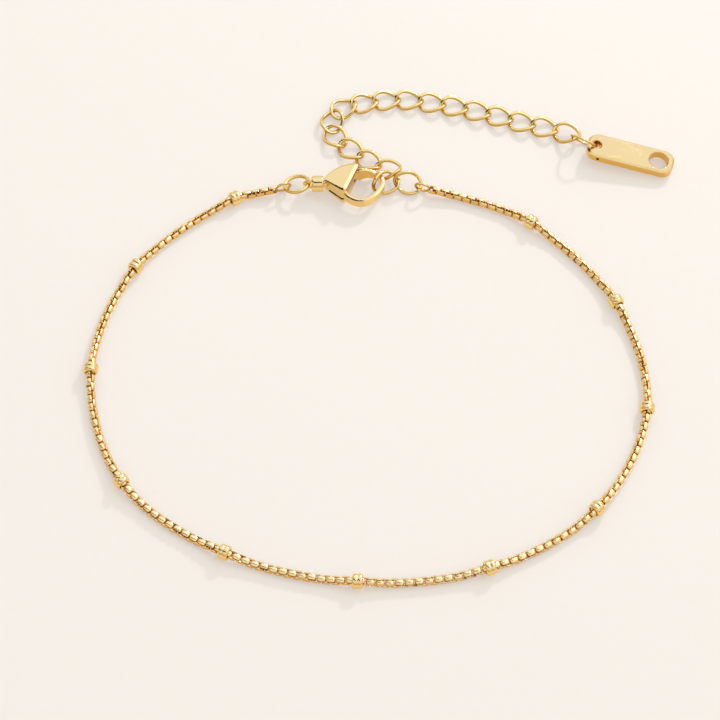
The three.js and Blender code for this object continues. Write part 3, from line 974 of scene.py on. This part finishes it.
def filed_block(name, outline, insets, half_height, under, band=False):
    """The top is the outline drawn in by the insets, and the underside by a share of them.

    A band's outline runs out along one side and back along the other, and its faces are closed
    from side to side."""
    points = np.array(outline)
    ahead = np.roll(points, -1, axis=0) - np.roll(points, 1, axis=0)
    inward = leftward(ahead)
    shape = bmesh.new()
    rings = []
    for side, layers, depths in ((1, EDGE_PROFILE, insets),
                                 (-1, EDGE_PROFILE[::-1], insets * under)):
        for share, down in layers:
            flat = points + inward * (depths * share)[:, None]
            rings.append([shape.verts.new((x, y, side * (half_height(*at) - down * depth)))
                          for (x, y), at, depth in zip(flat, points, depths)])
    count = len(outline)
    for upper, lower in zip(rings, rings[1:]):
        for i in range(count):
            j = (i + 1) % count
            shape.faces.new((upper[i], lower[i], lower[j], upper[j]))
    for ring in (rings[0], rings[-1]):
        if band:
            for i in range(count // 2 - 1):
                shape.faces.new((ring[i], ring[i + 1], ring[-i - 2], ring[-i - 1]))
        else:
            shape.faces.new(ring)
    return from_shape(name, shape)


def inside_outline(spot, outline, margin):
    """True if the spot lies within a convex outline, further in than the margin."""
    ring = [Vector(p) for p in outline]
    return all((after - here).normalized().cross(spot - here) > margin
               for here, after in zip(ring, ring[1:] + ring[:1]) if (after - here).length > 1e-6)


# %% [markdown]
# ## The wedge
#
# The wedge is a filed block whose height follows a rule: it grows evenly from the tail to the
# front wall. The hollow for the lever's hub, the mouth through which the gate leaves and the
# slot for the thumb tab are cut out of it. Their walls and the front wall are marked for painted shade.

# %% The wedge's blank

TAIL_HALF_THICKNESS = 0.87
FRONT_HALF_THICKNESS = 1.45
THICKENING_START, THICKENING_SPAN, THICKENING_MOST = -3.2, 3.4, 1.12
EDGE_STATIONS, EDGE_WIDTHS = [-3.2, -1.5, 0.0, 0.28], [0.20, 0.27, 0.36, 0.46]
WEDGE_UNDER_EDGE = 0.35


def forward(x, y):
    """How far a place lies toward the front, square to the front wall."""
    return 0.92 * x - 0.39 * y


def half_thickness(x, y):
    """Half the wedge's thickness, which grows evenly from tail to front."""
    share = min(max((forward(x, y) - THICKENING_START) / THICKENING_SPAN, 0), THICKENING_MOST)
    return TAIL_HALF_THICKNESS + (FRONT_HALF_THICKNESS - TAIL_HALF_THICKNESS) * share


back = bezier([(-3.6, -0.45), (-2.9, 0.5), (-1.8, 1.45), (0.12, 1.53)], 24)
shoulder = bezier([(0.12, 1.53), (0.66, 1.55), (0.78, 1.11)], 8)
front = bezier([(0.78, 1.11), (-0.66, -2.27)], 12)
near = bezier([(-0.66, -2.27), (-0.90, -2.87), (-1.39, -2.77)], 8)
wall = bezier([(-1.39, -2.77), (-3.57, -0.98)], 12)
tail = bezier([(-3.57, -0.98), (-3.72, -0.86), (-3.66, -0.62), (-3.6, -0.45)], 5)
WEDGE_OUTLINE = (back + shoulder + front + near + wall + tail)[::-1]
edge_widths = np.interp([forward(x, y) for x, y in WEDGE_OUTLINE], EDGE_STATIONS, EDGE_WIDTHS)
wedge = filed_block("wedge", WEDGE_OUTLINE, edge_widths, half_thickness, WEDGE_UNDER_EDGE)
print("wedge blank:", len(wedge.data.polygons), "faces")

# %% The wedge's hollow and slot

CAVITY = 0.72
SLOT = (-0.82, -0.46)
HUB_ROOM = 0.75
MOUTH_OUTLINE = [(-0.4, -0.4), (1.2, -0.1), (1.5, 1.2), (-0.2, 0.8)]
TAB_ROOM_OUTLINE = [(-1.15, 0.3), (-3.1, -1.5), (-3.5, -2.2), (-1.2, -3.4), (-0.95, -2.2),
                    (-0.1, -0.4)]
HOLLOW_MARGIN, HOLLOW_SKIN = 0.08, 0.01
WALL_BORDER, WALL_SKIN = 0.25, 0.05
CAST_EDGE_ANGLE = 40
LEVER_PIVOT = (LEVER_FROM_CLASP.x, LEVER_FROM_CLASP.y)
hub_room = plate("hub_room", [circle(HUB_ROOM, *LEVER_PIVOT)], 2 * CAVITY, 0)
mouth = plate("mouth", [MOUTH_OUTLINE], 2 * CAVITY, 0)
tab_room = plate("tab_room", [TAB_ROOM_OUTLINE], SLOT[1] - SLOT[0], 0)
wedge = cut(wedge, hub_room, mouth, lifted(tab_room, *SLOT))
FRONT_START, FRONT_WAY = Vector(front[0]), (Vector(front[-1]) - Vector(front[0])).normalized()


def shade_in_hollow_and_wall(corner):
    """Painted shade: 1 inside the hollow and the slot and on the front wall, 0 elsewhere on the outside.
    """
    from_wall = abs(FRONT_WAY.cross(corner.xy - FRONT_START))
    on_wall = (from_wall < WALL_SKIN
               and abs(corner.z) < half_thickness(corner.x, corner.y) - WALL_BORDER)
    within = (abs(corner.z) < CAVITY + HOLLOW_SKIN
              and inside_outline(corner.xy, WEDGE_OUTLINE, HOLLOW_MARGIN))
    return float(on_wall or within)


# Painted shade on the hollow, the slot and the front wall.
wedge = clasp_part(marked(wedge, shade_in_hollow_and_wall), CAST_EDGE_ANGLE)

# %% [markdown]
# ## Barrel and eye
#
# Behind the wedge sits a short barrel with rolled edges and a narrow neck, turned on a lathe,
# so its half section is spun. A half loop of round wire on its end is the eye that the jump
# ring goes through, so it is swept.

# %% Barrel and eye

BARREL_LINE, BARREL_END = -0.87, -5.25
# Columns are radius and place along the barrel, from its end to inside the wedge.
BARREL_SECTION = [
    (0, BARREL_END), (0.84, BARREL_END), (0.94, -5.21), (1.01, -5.14), (1.05, -5.03),
    (1.06, -4.92), (1.06, -3.92), (1.045, -3.84), (1.0, -3.78), (0.93, -3.75), (0.85, -3.74),
    (0.52, -3.74), (0.48, -3.70), (0.48, -3.3), (0, -3.3),
]
BARREL_FACETS, BARREL_EDGE_ANGLE = 64, 60
EYE_REACH, EYE_HALF_HEIGHT, EYE_ROOT = 0.93, 0.74, -5.1
EYE_WIRE_RADIUS, EYE_SPACING, EYE_STEPS = 0.19, 0.07, 40
barrel = turned("barrel", BARREL_SECTION, BARREL_FACETS, False)
barrel.data.transform(Matrix.Translation((0, BARREL_LINE, 0)))
barrel = clasp_part(barrel, BARREL_EDGE_ANGLE)


turns = [math.pi / 2 + math.pi * (i / EYE_STEPS) for i in range(EYE_STEPS + 1)]
loop = [(BARREL_END + EYE_REACH * math.cos(t), BARREL_LINE, EYE_HALF_HEIGHT * math.sin(t))
        for t in turns]
roots = [(EYE_ROOT, BARREL_LINE, height) for height in (EYE_HALF_HEIGHT, -EYE_HALF_HEIGHT)]
eye_path = [tuple(CLASP @ Vector(p)) for p in roots[:1] + loop + roots[1:]]
eye = wire("eye", eye_path, EYE_WIRE_RADIUS, EYE_SPACING, CLASP_GOLD, 4, closed=False)

# %% [markdown]
# ## Hook and pin
#
# The hook is a bar that leaves the wedge's near corner and curves round to meet the gate. A
# smooth line through a few places is its middle, and a filed block made as a band gives it a
# wider broken edge outside than inside. The pin on which the lever turns is a short rod.

# %% Hook and pin

HOOK_LINE = [(-1.15, -2.35), (-0.5, -3.15), (0.2, -3.6), (1.0, -3.78), (1.95, -3.55),
             (2.95, -2.8), (3.6, -1.85), (3.88, -1.0), (3.7, -0.25), (3.32, 0.22)]
HOOK_WIDTH, HOOK_HALF_HEIGHT, HOOK_INNER_BEVEL, HOOK_OUTER_BEVEL = 0.55, 0.65, 0.12, 0.22
HOOK_UNDER_EDGE = 0.5
PIN_RADIUS, PIN_LENGTH, PIN_BEVEL = 0.34, 2.0, 0.03
hook_line = smooth_route(np.array(HOOK_LINE), 10)
hook_outline = offset_outline(hook_line, HOOK_WIDTH / 2)
hook_bevels = np.repeat([HOOK_INNER_BEVEL, HOOK_OUTER_BEVEL], len(hook_line))
hook = filed_block("hook", hook_outline[::-1], hook_bevels[::-1], lambda x, y: HOOK_HALF_HEIGHT,
                   HOOK_UNDER_EDGE, band=True)
hook = clasp_part(hook, CAST_EDGE_ANGLE)
pin = plate("pin", [circle(PIN_RADIUS, *LEVER_PIVOT, steps=40)], PIN_LENGTH, PIN_BEVEL)
pin = clasp_part(pin)
joined("lobster_clasp", [wedge, barrel, eye, hook, pin], ["clasp_body"])

# %% [markdown]
# ## The lever
#
# The lever is the clasp's moving part: a gate of upright strip that closes the hook, a hub that
# turns on the pin, and a thin thumb tab in the slot. The gate's flat shape is offset from its
# middle line, and its height is then stretched along its length: low in the hollow, tall just
# outside it, and low again at the tip. It rides on the lever's body, the rest on the anklet's.

# %% The lever

GATE_THICKNESS, GATE_BEVEL = 0.4, 0.09
GATE_LINE = [(-0.3, 0.2), (0.2, 0.32), (0.75, 0.52), (1.3, 0.7), (1.8, 0.77), (2.3, 0.72),
             (2.7, 0.56), (2.92, 0.42)]
HUB_RADIUS, HUB_BORE, HUB_HALF_HEIGHT, HUB_BEVEL = 0.65, 0.42, 0.62, 0.05
GATE_STATIONS, GATE_HALF_HEIGHTS = [0.7, 0.82, 3.1], [HUB_HALF_HEIGHT, 1.08, 0.5]
TAB_OUTLINE = [(-0.85, -0.15), (-0.35, -0.35), (-1.75, -2.34), (-2.05, -2.1)]
TAB_THICKNESS, TAB_BEVEL, TAB_LEVELS = 0.2, 0.02, (-0.74, -0.54)

gate_line = smooth_route(np.array(GATE_LINE), 10)
gate = plate("gate", [offset_outline(gate_line, GATE_THICKNESS / 2)[::-1]], 2, GATE_BEVEL)
for vertex in gate.data.vertices:
    vertex.co.z *= float(np.interp(vertex.co.x, GATE_STATIONS, GATE_HALF_HEIGHTS))
bore = plate("bore", [circle(HUB_BORE, *LEVER_PIVOT)], 4, 0)
gate = clasp_part(cut(gate, bore), CAST_EDGE_ANGLE, GATE_GOLD)
hub_outlines = [circle(HUB_RADIUS, *LEVER_PIVOT), circle(HUB_BORE, *LEVER_PIVOT, sense=-1)]
hub = clasp_part(plate("hub", hub_outlines, 2 * HUB_HALF_HEIGHT, HUB_BEVEL))
tab = plate("tab", [TAB_OUTLINE], TAB_THICKNESS, TAB_BEVEL)
tab = clasp_part(lifted(tab, *TAB_LEVELS))
joined("clasp_gate_lever", [gate, hub, tab], ["clasp_lever"], "lever")

# %% [markdown]
# ## Surface
#
# The anklet lies on a plain pale warm surface, a single square much larger than the view. Its
# colour has a faint paper grain, and it glows slightly, which keeps it pale without a stronger
# lamp that would bleach the gold.

# %% Surface

SURFACE_SIZE = 1.6
PAPER_DARK, PAPER_LIGHT = (0.54, 0.519, 0.495, 1.0), (0.56, 0.539, 0.515, 1.0)
PAPER_GRAIN = 900.0
GLOW_COLOUR, GLOW = (1.0, 0.95, 0.90, 1.0), 0.375


def surface_finish():
    """Matt pale paper that glows slightly."""
    material, tree, shader, spot = new_finish("pale_surface")
    grain = tree.noise(spot, PAPER_GRAIN, 3.0)
    tree.feed(shader.inputs["Base Color"], tree.mixed(PAPER_DARK, PAPER_LIGHT, grain))
    shader.inputs["Emission Color"].default_value = GLOW_COLOUR
    shader.inputs["Emission Strength"].default_value = GLOW
    shader.inputs["Roughness"].default_value = 0.9
    shader.inputs["Specular IOR Level"].default_value = 0.2
    return material


half = SURFACE_SIZE / 2
floor_mesh = bpy.data.meshes.new("surface")
floor_mesh.from_pydata([(-half, -half, 0), (half, -half, 0), (half, half, 0), (-half, half, 0)],
                       [], [(0, 1, 2, 3)])
floor_mesh.materials.append(surface_finish())
surface = add_object("surface", floor_mesh)
print("surface:", SURFACE_SIZE, "m square")

# %% [markdown]
# ## World
#
# Polished gold shows its surroundings more than itself, so the world is what colours it: a dome
# that is bright overhead and warm and darker toward the sides, a narrow dark bar that draws
# dark lines along the wire, and a small bright window that gives the sparkle.

# %% World

DOME_TOWARD, DOME_STRENGTH = (0.15, 0.20, 0.97), 1.03
# Columns are the cosine of the angle from the dome's bright end, and the colour there.
DOME = [(-0.25, (0.48, 0.35, 0.20)), (0.0, (0.58, 0.45, 0.29)), (0.25, (0.74, 0.64, 0.50)),
        (0.62, (0.97, 0.94, 0.90)), (0.80, (1.0, 1.0, 0.99)), (1.0, (1.02, 1.02, 1.01))]
BAR_NORMAL, BAR_COLOUR = (0.45, 0.85, 0.26), (0.03, 0.015, 0.006, 1.0)
BAR_SIDEWAYS = 0.32
WINDOW, WINDOW_COLOUR = (0.62, 0.25, 0.74), (1.7, 1.68, 1.64, 1.0)
# Each pair is where a mask is none and where it is full.
BAR_SIDES, BAR_ENDS, BAR_FOOT, WINDOW_RIM = (0.19, 0.12), (0.68, 0.42), (0.0, 0.1), (0.955, 0.975)


def world_light():
    """A dome coloured by its angle from one direction, with a dark bar and a bright window."""
    world = bpy.data.worlds.new("studio")
    bpy.context.scene.world = world
    world.use_nodes = True
    tree = Tree(world.node_tree)
    background = world.node_tree.nodes["Background"]
    direction = tree.node("ShaderNodeTexCoord", output="Generated")

    def along(axis):
        return tree.node("ShaderNodeVectorMath", {"operation": "DOT_PRODUCT"},
                         {0: direction, 1: Vector(axis).normalized()}, output="Value")

    stops = [((cosine + 1) / 2, colour) for cosine, colour in DOME]
    sky = tree.ramp(along(DOME_TOWARD) * 0.5 + 0.5, stops)
    across = tree.math("ABSOLUTE", along(BAR_NORMAL))
    sideways = tree.math("ABSOLUTE", along((1, 0, 0)) + BAR_SIDEWAYS)
    bar = tree.eased(across, *BAR_SIDES) * tree.eased(sideways, *BAR_ENDS)
    bar = bar * tree.eased(along((0, 0, 1)), *BAR_FOOT)
    lit = tree.mixed(sky, WINDOW_COLOUR, tree.eased(along(WINDOW), *WINDOW_RIM))
    tree.feed(background.inputs["Color"], tree.mixed(lit, BAR_COLOUR, bar))
    background.inputs["Strength"].default_value = DOME_STRENGTH
    return tree


print("world:", len(world_light().tree.nodes), "nodes")

# %% [markdown]
# ## Lamp
#
# One small soft disk lamp, high behind and to the right, draws the shadows to the lower left.
# The smaller the disk, the crisper the shadow's edge.

# %% Lamp

LAMP_PLACE = (0.17, 0.285, 0.20)
LAMP_SIZE, LAMP_POWER, LAMP_COLOUR = 0.035, 0.52, (1.0, 0.99, 0.97)

lamp_data = bpy.data.lights.new("softbox", "AREA")
lamp_data.shape = "DISK"
lamp_data.size = LAMP_SIZE
lamp_data.energy = LAMP_POWER
lamp_data.color = LAMP_COLOUR
softbox = add_object("softbox", lamp_data)
softbox.location = LAMP_PLACE
softbox.rotation_euler = (-softbox.location).to_track_quat("-Z", "Y").to_euler()
print("lamp:", round(softbox.location.length, 3), "m from the anklet")

# %% [markdown]
# ## Camera
#
# The camera looks down on the anklet from in front. A long lens from a little way off keeps
# the near and the far side of the chain almost the same size.

# %% Camera

LOOK_AT = Vector((*(-ORIGIN_SHIFT * MM), 0))
ELEVATION = math.radians(59)
DISTANCE = 0.3214
LENS, SENSOR = 130, 36

camera_data = bpy.data.cameras.new("camera")
camera_data.lens = LENS
camera_data.sensor_width = SENSOR
camera_data.clip_start = 0.01
camera = add_object("camera", camera_data)
direction = Vector((0, -math.cos(ELEVATION), math.sin(ELEVATION)))
camera.location = LOOK_AT + DISTANCE * direction
camera.rotation_euler = (-direction).to_track_quat("-Z", "Y").to_euler()
bpy.context.scene.camera = camera
bpy.context.scene.view_settings.view_transform = "Standard"
print("camera at, m:", [round(c, 3) for c in camera.location])
